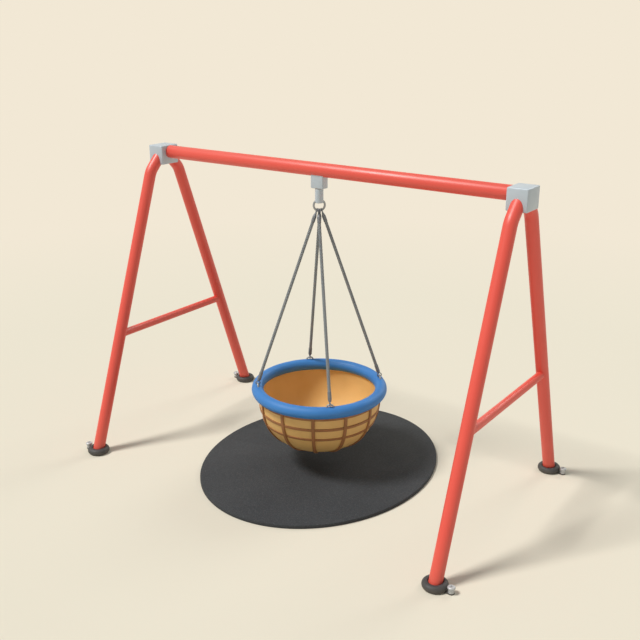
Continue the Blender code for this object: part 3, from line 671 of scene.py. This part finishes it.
def keep(piece, name, body, finish, nodes, smooth=32):
    """Names a finished piece, fixes its place in its mesh and hands it to its body."""
    only(piece)
    bpy.ops.object.transform_apply(location=True, rotation=True, scale=True)
    bpy.ops.object.shade_smooth_by_angle(angle=math.radians(smooth))
    piece.name = piece.data.name = name
    piece.data.materials.clear()
    piece.data.materials.append(FINISHES[finish])
    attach(piece, body)
    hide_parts(*nodes)
    return piece


def direction(degrees):
    return Vector((math.cos(math.radians(degrees)), math.sin(math.radians(degrees)), 0))


# ---- standing frame ----

def leg_line(side, end):
    """Foot, corner of the bend and aim of a leg's middle line."""
    x = side * SPAN
    return (Vector((x, end * LEG_FOOT_Y, 0)), Vector((x, end * LEG_CORNER_Y, LEG_CORNER_Z)),
            Vector((x, 0, LEG_AIM_Z)))


def leg_bar(side, end, radius):
    """A leg's tube from below the ground to inside the corner block, or a thicker one to cut with."""
    foot, corner, aim = leg_line(side, end)
    up = (corner - foot).normalized()
    over = (aim - corner).normalized()
    turn = up.angle(over)
    trim = LEG_BEND_RADIUS * math.tan(turn / 2)
    first = corner - up * trim
    centre = first + (over - up * over.dot(up)).normalized() * LEG_BEND_RADIUS
    bend = (centre, up.cross(over).normalized(), turn, 12)
    return bar(radius, [foot - up * radius, first, corner + over * trim, aim], 64, {2: bend})


def beam():
    half = SPAN - CASTING.x / 2 - GAP
    tube = bar(BEAM_RADIUS, [(-half, 0, BEAM_AXIS_Z), (half, 0, BEAM_AXIS_Z)], 72)
    keep(soften(tube, 0.0015), "beam_tube", "frame", "red_powder_coat", ["top_beam"])


def brace(word, side):
    """The brace of one A-frame, coped to both legs, with a weld bead round each end."""
    foot, corner = leg_line(side, 1)[:2]
    reach = foot.lerp(corner, BRACE_Z / corner.z).y
    tube = bar(BRACE_RADIUS, [(foot.x, -reach, BRACE_Z), (foot.x, reach, BRACE_Z)], 56)
    for end in ENDS.values():
        run = [(foot.x, end * (reach - WELD_RUN), BRACE_Z), (foot.x, end * reach, BRACE_Z)]
        bead = cut(bar(BRACE_RADIUS + WELD, run, 56), leg_bar(side, end, LEG_RADIUS + WELD), "INTERSECT")
        tube = cut(tube, bead, "UNION")
    for end in ENDS.values():
        tube = cut(tube, leg_bar(side, end, LEG_RADIUS + GAP))
    soften(tube, 0.0016, angle=50)
    keep(tube, f"brace_tube_{word}", "frame", "red_powder_coat", [f"cross_brace_{word}"])


def leg(place, word, side, end):
    """A bent leg, coped to the corner block and cut level on its foot plate."""
    x = side * SPAN
    grown = CASTING + Vector((2 * GAP,) * 3)
    tube = cut(leg_bar(side, end, LEG_RADIUS), block(grown, (x, 0, CASTING_Z), 0.006, 2))
    tube = cut(tube, below(x, end * FOOT_Y, PLATE_TOP))
    keep(tube, f"leg_tube_{place}_{word}", "frame", "red_powder_coat", [f"leg_{place}_{word}"])


def foot_plate(place, word, side, end):
    """A round plate with an arm and an ear for the ground bolt."""
    x, y = side * SPAN, end * FOOT_Y
    reach = BOLT_X - SPAN
    plate = ring_stack([(PLATE_RADIUS, 0), (PLATE_RADIUS, PLATE_TOP)], 64, (x, y, 0))
    ear = ring_stack([(EAR_RADIUS, 0), (EAR_RADIUS, PLATE_TOP)], 32, (x + side * reach, y, 0))
    arm = block((reach, ARM_WIDTH, PLATE_TOP), (x + side * reach / 2, y, PLATE_TOP / 2), 0.0006, 1)
    plate = cut(cut(plate, ear, "UNION"), arm, "UNION")
    # The steel plate takes the collars' black finish as painted shade: it stands in for the dark shade
    # between the collar and the ground bolt.
    keep(plate, f"foot_plate_{place}_{word}", "frame", "black_rubber", [f"leg_{place}_{word}"])


def collar(place, word, side, end):
    """A thick rubber ring, flat below, with room for the leg, the plate and its ear."""
    x, y = side * SPAN, end * FOOT_Y
    major, middle = COLLAR_RADIUS - COLLAR_SECTION, COLLAR_TOP - COLLAR_SECTION
    rings = []
    for i in range(40):
        angle = math.pi / 2 - 2 * math.pi * i / 40
        height = max(middle + COLLAR_SECTION * math.sin(angle), 0)
        rings.append((major + COLLAR_SECTION * math.cos(angle), height))
    flat = [r for r in rings if r[1] == 0]
    rings = [r for r in rings if r[1] > 0 or r in (flat[0], flat[-1])]
    made = ring_stack(rings, 96, (x, y, 0), closed=True)
    made = cut(made, leg_bar(side, end, LEG_RADIUS + GAP))
    bed = PLATE_RADIUS + GAP
    made = cut(made, ring_stack([(bed, -0.01), (bed, PLATE_TOP + GAP)], 64, (x, y, 0)))
    mouth = cut(leg_bar(side, end, LEG_RADIUS + COLLAR_MOUTH_PLAY), below(x, y, COLLAR_MOUTH_Z))
    made = cut(made, mouth)
    made = cut(made, block(EAR_NOTCH, (side * EAR_NOTCH_X, y, EAR_NOTCH_Z), 0.0003, 1))
    keep(merged(made), f"collar_{place}_{word}", "frame", "black_rubber", [f"foot_collar_{place}_{word}"],
         smooth=40)


def ground_bolt(place, word, side, end):
    """A bolt with a sleeve, a domed head and a six-sided drive."""
    x, y = side * BOLT_X, end * FOOT_Y
    base = PLATE_TOP + GAP
    seat = base + BOLT_SLEEVE_HEIGHT
    rings = [(BOLT_SHANK, 0), (BOLT_SHANK, base), (BOLT_SLEEVE - 0.001, base), (BOLT_SLEEVE, base + 0.001),
             (BOLT_SLEEVE, seat)]
    rings += [(radius, seat + height) for radius, height in BOLT_HEAD]
    bolt = ring_stack(rings, 48, (x, y, 0))
    start()
    bpy.ops.mesh.primitive_cylinder_add(vertices=6, radius=BOLT_DRIVE_RADIUS, depth=BOLT_DRIVE_DEPTH,
                                        location=(x, y, seat + BOLT_HEAD[-1][1]))
    bolt = cut(bolt, bpy.context.active_object)
    keep(bolt, f"ground_bolt_{place}_{word}", "frame", "galvanised_steel", [f"anchor_bolt_{place}_{word}"])


def mat():
    """The oval mat with a rounded upper edge."""
    rings = [(MAT_HALF_X - 0.003, 0), (MAT_HALF_X, 0.002), (MAT_HALF_X, MAT_TOP - 0.006),
             (MAT_HALF_X - 0.0015, MAT_TOP - 0.0022), (MAT_HALF_X - 0.005, MAT_TOP), (0.30, MAT_TOP)]
    pad = ring_stack(rings, 160)
    pad.scale = (1, MAT_HALF_Y / MAT_HALF_X, 1)
    pad.location = (MAT_X, 0, 0)
    keep(pad, "fall_mat", "frame", "mat_rubber", ["safety_mat"])


def standing_frame():
    beam()
    for word, side in SIDES.items():
        casting = block(CASTING, (side * SPAN, 0, CASTING_Z), CASTING_EDGE)
        keep(casting, f"corner_block_{word}", "frame", "cast_aluminium", [f"corner_casting_{word}"])
        brace(word, side)
        for place, end in ENDS.items():
            leg(place, word, side, end)
            foot_plate(place, word, side, end)
            collar(place, word, side, end)
            ground_bolt(place, word, side, end)
    mat()


# ---- swivel head ----

def upright_ring(wire, steps, sides):
    """The carrying ring, or a thicker one to cut its eye with."""
    return wire_ring(RING_RADIUS, wire, steps, sides, (0, 0, RING_Z), (math.pi / 2, 0, math.radians(45)))


def swivel_head():
    """The bearing block with its saddle, the turning neck with its curved eye, and the ring."""
    size = (HOUSING_LENGTH, HOUSING_WIDTH, HOUSING_TOP - HOUSING_BOTTOM)
    housing = block(size, (0, 0, (HOUSING_TOP + HOUSING_BOTTOM) / 2), HOUSING_EDGE)
    housing = cut(housing, bar(BEAM_RADIUS + GAP, [(-0.2, 0, BEAM_AXIS_Z), (0.2, 0, BEAM_AXIS_Z)], 72))
    housing = cut(housing, ring_stack([(HOUSING_BORE, 2.20), (HOUSING_BORE, 2.38)], 48))
    keep(merged(housing), "bearing_block", "frame", "cast_aluminium", ["swivel_housing"])

    rings = [(SHANK_RADIUS, SHANK_TOP), (SHANK_RADIUS, NECK_TOP), (NECK_RADIUS - NECK_CHAMFER, NECK_TOP),
             (NECK_RADIUS, NECK_TOP - NECK_CHAMFER), (NECK_RADIUS, NECK_BOTTOM + NECK_ROUNDING)]
    for i in range(1, 9):
        angle = math.pi / 2 * i / 8
        rings.append((NECK_RADIUS - NECK_ROUNDING + NECK_ROUNDING * math.cos(angle),
                      NECK_BOTTOM + NECK_ROUNDING - NECK_ROUNDING * math.sin(angle)))
    neck = cut(ring_stack(rings, 72), upright_ring(RING_WIRE + EYE_CLEARANCE, 72, 32))
    keep(merged(neck), "spindle_neck", "swivel", "cast_aluminium", ["swivel_spindle"])

    keep(upright_ring(RING_WIRE, 96, 28), "carrying_ring", "ring", "stainless_steel", ["suspension_ring"])


# ---- ropes ----

def rope_line(place):
    """Upper and lower eye centres of a rope and the normals of both eyes."""
    angle = math.radians(HEAD_ANGLES[place])
    reach = RING_RADIUS + EYE_INNER - RING_WIRE - EYE_DROP
    aim = RING_WAY * math.sin(angle) - Vector((0, 0, 1)) * math.cos(angle)
    upper = Vector((0, 0, RING_Z)) + reach * aim
    hook = direction(ROPES[place]) * RIM_RADIUS + Vector((0, 0, RIM_Z + LOOP_RISE + LOOP_RADIUS))
    lower = hook + (upper - hook).normalized() * (EYE_INNER - LOOP_WIRE - GAP)
    return upper, lower, RING_NORMAL.cross(upper - lower).normalized(), direction(ROPES[place] + 90)


def terminal(name, centre, toward, normal, nodes, cone):
    """A pressed eye terminal, modelled upright at the origin and set in its place."""
    tip, cone_end = cone
    middle = EYE_INNER + EYE_WIRE
    rings = [(SLEEVE_MOUTH, -SLEEVE_END), (SLEEVE_RADIUS - 0.001, -SLEEVE_END),
             (SLEEVE_RADIUS, -SLEEVE_END + 0.0015)]
    for groove in GROOVES:
        rings += [(SLEEVE_RADIUS, -groove - GROOVE_HALF_WIDTH),
                  (SLEEVE_RADIUS - GROOVE_DEPTH, -groove - GROOVE_HALF_FLOOR),
                  (SLEEVE_RADIUS - GROOVE_DEPTH, -groove + GROOVE_HALF_FLOOR),
                  (SLEEVE_RADIUS, -groove + GROOVE_HALF_WIDTH)]
    rings += [(SLEEVE_RADIUS, -cone_end - 0.001), (SLEEVE_RADIUS - 0.0008, -cone_end + 0.001),
              (tip + 0.0004, -middle - 0.002), (tip - 0.0004, -middle), (tip - 0.002, -middle + 0.0015)]
    eye = wire_ring(middle, EYE_WIRE, 48, 16, (0, 0, 0), (math.pi / 2, 0, 0))
    piece = cut(ring_stack(rings, 40), eye, "UNION")
    z_axis = -toward.normalized()
    x_axis = normal.cross(z_axis).normalized()
    turned = Matrix((x_axis, z_axis.cross(x_axis), z_axis)).transposed().to_4x4()
    piece.matrix_world = Matrix.Translation(centre) @ turned
    bpy.context.view_layer.update()
    return keep(piece, name, "basket", "pressed_steel", nodes)


def laid_rope(place, upper, lower):
    """Six strands laid round a core, drawn as one lobed skin that turns along the rope."""
    run = (lower - upper).normalized()
    first, last = upper + run * ROPE_SEAT, lower - run * ROPE_SEAT
    side = run.cross(Vector((0, 0, 1))).normalized()
    other = run.cross(side)
    length = (last - first).length
    centre = ROPE_RADIUS - STRAND_RADIUS
    start()
    bpy.ops.mesh.primitive_grid_add(x_subdivisions=54, y_subdivisions=220, size=1, calc_uvs=True)
    piece = bpy.context.active_object
    for vertex in piece.data.vertices:
        u, v = vertex.co.x + 0.5, vertex.co.y + 0.5
        off = ((u * STRANDS) % 1 - 0.5) * 2 * math.pi / STRANDS
        crown = math.sqrt(max(STRAND_RADIUS ** 2 - (centre * math.sin(off)) ** 2, 0))
        radius = centre * math.cos(off) + crown
        turn = 2 * math.pi * u + 2 * math.pi * v * length / ROPE_LAY
        vertex.co = first.lerp(last, v) + radius * (side * math.cos(turn) + other * math.sin(turn))
    only(piece)
    edit()
    bpy.ops.mesh.remove_doubles(threshold=0.00001)
    bpy.ops.mesh.fill_holes(sides=0)
    facing_out()
    done()
    keep(piece, f"laid_rope_{place}", "basket", "grey_rope", [f"rope_{place}"], smooth=70)
    return piece, [tuple(first.lerp(last, i / 24)) for i in range(25)], length


def ropes():
    for place in ROPES:
        upper, lower, upper_normal, lower_normal = rope_line(place)
        head = terminal(f"rope_end_upper_{place}", upper, lower - upper, upper_normal,
                        [f"rope_head_{place}"], UPPER_CONE)
        foot = terminal(f"rope_end_lower_{place}", lower, upper - lower, lower_normal,
                        [f"rope_foot_{place}"], LOWER_CONE)
        piece, path, length = laid_rope(place, upper, lower)


# ---- basket ----

def shell_radius(drop):
    return SHELL_RADIUS * (1 - (drop / BOWL_DEPTH) ** BOWL_POWER) ** (1 / BOWL_POWER)


def shell_line():
    """The bowl's outer line from the lip to near the pole, evenly turned."""
    line = [(SHELL_RADIUS, RIM_Z - 0.001), (SHELL_RADIUS, BOWL_START + 0.004)]
    for i in range(1, 41):
        angle = math.pi / 2 * i / 40 * 0.995
        line.append((SHELL_RADIUS * math.cos(angle) ** (2 / BOWL_POWER),
                     BOWL_START - BOWL_DEPTH * math.sin(angle) ** (2 / BOWL_POWER)))
    return line


def offset(line, distance):
    """A line moved outwards, square to itself."""
    moved = []
    for i, point in enumerate(line):
        before, after = line[max(i - 1, 0)], line[min(i + 1, len(line) - 1)]
        run = Vector((after[0] - before[0], after[1] - before[1])).normalized()
        moved.append((point[0] - run.y * distance, point[1] + run.x * distance))
    return moved


def quarter_way(near, far):
    return (near[0] * 3 + far[0]) / 4, (near[1] * 3 + far[1]) / 4


def bowl():
    """The moulded bowl: its outer line turned round, opened above, given its wall and softened."""
    line = shell_line()
    shell = ring_stack(line + [(0.004, line[-1][1])], 144)
    only(shell)
    edit("DESELECT")
    done()
    for face in shell.data.polygons:
        face.select = len(face.vertices) > 4 and face.center.z > 0.5
    edit_chosen()
    bpy.ops.mesh.delete(type="ONLY_FACE")
    done()
    thicken(shell, SHELL_WALL, -1, True)
    keep(soften(shell, 0.0015), "bowl", "basket", "tan_moulding", ["bowl_shell"])


def band(name, drop, width):
    """A moulded hoop round the bowl with its outer edges broken."""
    top = drop - (RIM_Z - BOWL_START) - width / 2
    line = [(shell_radius(top + width * i / 4), BOWL_START - top - width * i / 4) for i in range(5)]
    near, far = offset(line, GAP), offset(line, HOOP_THICKNESS + GAP)
    outer = offset(line, HOOP_THICKNESS * 0.8 + GAP)
    rings = near + [outer[-1], quarter_way(far[-1], far[-2])]
    rings += far[-2:0:-1] + [quarter_way(far[0], far[1]), outer[0]]
    made = ring_stack(rings, 144, closed=True)
    keep(made, f"band_{name.split('_')[1]}", "basket", "brown_strip", [name])


def strips():
    """One rib drawn out down the bowl's line, thickened, softened and copied round."""
    top = RIM_Z - PAD_RADIUS - 2 * GAP
    line = [p for p in shell_line() if p[1] < top and p[0] > BOSS_RADIUS + 0.004]
    line = [(SHELL_RADIUS, top)] + line + [(BOSS_RADIUS + 2 * GAP, line[-1][1] - 0.0008)]
    near = offset(line, GAP)
    run = near[0][1] - near[1][1]
    middle = (near[0][0], 0, (near[0][1] + near[1][1]) / 2)
    start()
    bpy.ops.mesh.primitive_plane_add(size=RIB_WIDTH, location=middle, rotation=(0, math.pi / 2, 0))
    edit()
    bpy.ops.transform.resize(value=(1, 1, run / RIB_WIDTH), center_override=middle)
    bpy.ops.mesh.select_all(action="DESELECT")
    piece = settled()
    for edge in piece.data.edges:
        edge.select = all(abs(piece.data.vertices[i].co.z - near[1][1]) < 1e-6 for i in edge.vertices)
    edit_chosen()
    bpy.ops.mesh.select_mode(type="EDGE")
    for last, point in zip(near[1:], near[2:]):
        drawn_out((point[0] - last[0], 0, point[1] - last[1]))
    facing_out()
    done()
    if sum(face.normal.x for face in piece.data.polygons) < 0:
        edit()
        bpy.ops.mesh.flip_normals()
        done()
    thicken(piece, RIB_THICKNESS, 1, False)
    soften(piece, 0.0022)
    for i in range(RIBS):
        only(piece)
        bpy.ops.object.duplicate()
        copy = bpy.context.active_object
        copy.rotation_euler = (0, 0, math.radians(360 / RIBS * i))
        keep(copy, f"strip_{i + 1:02d}", "basket", "brown_strip", [f"rib_{i + 1:02d}"])
    bpy.data.objects.remove(piece)


def boss():
    """The cap under the bowl that the ribs run into."""
    pole = BOWL_START - BOWL_DEPTH - GAP
    angle = math.acos((BOSS_RADIUS / SHELL_RADIUS) ** (BOWL_POWER / 2))
    edge = BOWL_START - GAP - BOWL_DEPTH * math.sin(angle) ** (2 / BOWL_POWER)
    foot = pole - BOSS_DEPTH
    rings = [(0.003, pole), (BOSS_RADIUS - 0.001, edge), (BOSS_RADIUS, edge - 0.001),
             (BOSS_RADIUS, foot + 0.0045), (BOSS_RADIUS - 0.0012, foot + 0.0012), (BOSS_RADIUS - 0.004, foot),
             (0.012, foot)]
    keep(ring_stack(rings, 96), "base_cap", "basket", "brown_strip", ["bowl_boss"])


def tyre_rings():
    """The padding's section: its skin with the seam, the lip's slot, and the bore for the core."""
    slot_out, slot_in = -CORE_RADIUS, -(CORE_RADIUS + 3 * GAP + SHELL_WALL)
    first, last = math.acos(slot_out / PAD_RADIUS), math.acos(slot_in / PAD_RADIUS)
    sweep = 2 * math.pi - (last - first)
    rings = []
    for i in range(57):
        angle = -first + sweep * i / 56
        radius = PAD_RADIUS - SEAM_DEPTH * math.exp(-((angle - SEAM_ANGLE) / SEAM_WIDTH) ** 2)
        rings.append((RIM_RADIUS + radius * math.cos(angle), radius * math.sin(angle)))
    bore = CORE_RADIUS + GAP
    rings += [(RIM_RADIUS + slot_in, GAP), (RIM_RADIUS - bore, GAP)]
    for i in range(1, 16):
        angle = math.pi - 2 * math.pi * i / 16
        rings.append((RIM_RADIUS + bore * math.cos(angle), bore * math.sin(angle)))
    return rings + [(RIM_RADIUS + slot_out, -GAP)]


def lay_cover(tyre):
    """A UV map for the cover's weave: once round the rim, and once round the tyre."""
    def way_round(x, y, z):
        return math.atan2(y, x), math.atan2(z - RIM_Z, math.hypot(x, y) - RIM_RADIUS)

    layer = tyre.data.uv_layers.new(name="cover")
    for face in tyre.data.polygons:
        middle = way_round(*face.center)
        for loop in face.loop_indices:
            here = way_round(*tyre.data.vertices[tyre.data.loops[loop].vertex_index].co)
            layer.data[loop].uv = [(a + 2 * math.pi * round((m - a) / (2 * math.pi))) / (2 * math.pi)
                                   for a, m in zip(here, middle)]


def make_uneven(tyre):
    """Soft dips of the foam under its cover, up to 1.6 mm deep and only on the outer skin."""
    skin = tyre.vertex_groups.new(name="skin")
    for vertex in tyre.data.vertices:
        out = math.hypot(vertex.co.x, vertex.co.y) - RIM_RADIUS
        height = vertex.co.z - RIM_Z
        near_slot = height < -SKIN * PAD_RADIUS and out < 0
        if math.hypot(out, height) > SKIN * PAD_RADIUS and not near_slot:
            skin.add([vertex.index], 1.0, "REPLACE")
    lumps = bpy.data.textures.new("soft_lumps", "CLOUDS")
    lumps.noise_scale = DIP_SIZE
    lumps.noise_depth = 1
    only(tyre)
    step = tyre.modifiers.new("dips", "DISPLACE")
    step.texture = lumps
    step.texture_coords = "LOCAL"
    step.vertex_group = "skin"
    step.strength = DIP_DEPTH
    step.mid_level = 1.0
    bpy.ops.object.modifier_apply(modifier="dips")


def eye_bar(degrees, wire):
    """A rim eye's bent bar, or a thicker one to cut its way through the padding."""
    out, along = direction(degrees), direction(degrees + 90)
    base = out * RIM_RADIUS + Vector((0, 0, RIM_Z))
    up = Vector((0, 0, LOOP_RISE))
    near, far = base + along * LOOP_RADIUS, base - along * LOOP_RADIUS
    return bar(wire, [near, near + up, far + up, far], 24, {2: (base + up, out, math.pi, 20)})


def padding():
    """The foam tyre in its cover, slotted for the bowl's lip and pierced for the rim eyes."""
    tyre = ring_stack(tyre_rings(), 192, (0, 0, RIM_Z), closed=True)
    lay_cover(tyre)
    make_uneven(tyre)
    for degrees in ROPES.values():
        tyre = cut(tyre, eye_bar(degrees, LOOP_WIRE + EYE_CLEARANCE))
    keep(tyre, "padded_tyre", "basket", "blue_foam_cover", ["rim_padding"], smooth=40)


def rim_ring():
    """The steel core inside the padding with its four rope eyes."""
    core = wire_ring(RIM_RADIUS, CORE_RADIUS, 144, 16, (0, 0, RIM_Z))
    eyes = [eye_bar(degrees, LOOP_WIRE) for degrees in ROPES.values()]
    only(core)
    for eye in eyes:
        eye.select_set(True)
    bpy.ops.object.join()
    keep(core, "rim_ring", "basket", "stainless_steel", ["rim_core"])


def basket():
    bowl()
    for name, drop, width in HOOPS:
        band(name, drop, width)
    strips()
    boss()
    padding()
    rim_ring()


def inner_finishes():
    """The bearing's pieces inside the housing stay as they are and get their metals."""
    for finish, nodes in (("bearing_bronze", ("spindle_bush", "thrust_cage")),
                          ("stainless_steel", ("thrust_race_lower", "thrust_race_upper", "spindle_nut"))):
        for node in nodes:
            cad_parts[node].data.materials.clear()
            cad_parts[node].data.materials.append(FINISHES[finish])


GROUPS = {"tone": tone_group(), "grain": grain_group(), "cells": cell_group(), "weave": weave_group()}
FINISHES = finishes()
studio()
ropes()
standing_frame()
swivel_head()
basket()
inner_finishes()

start()
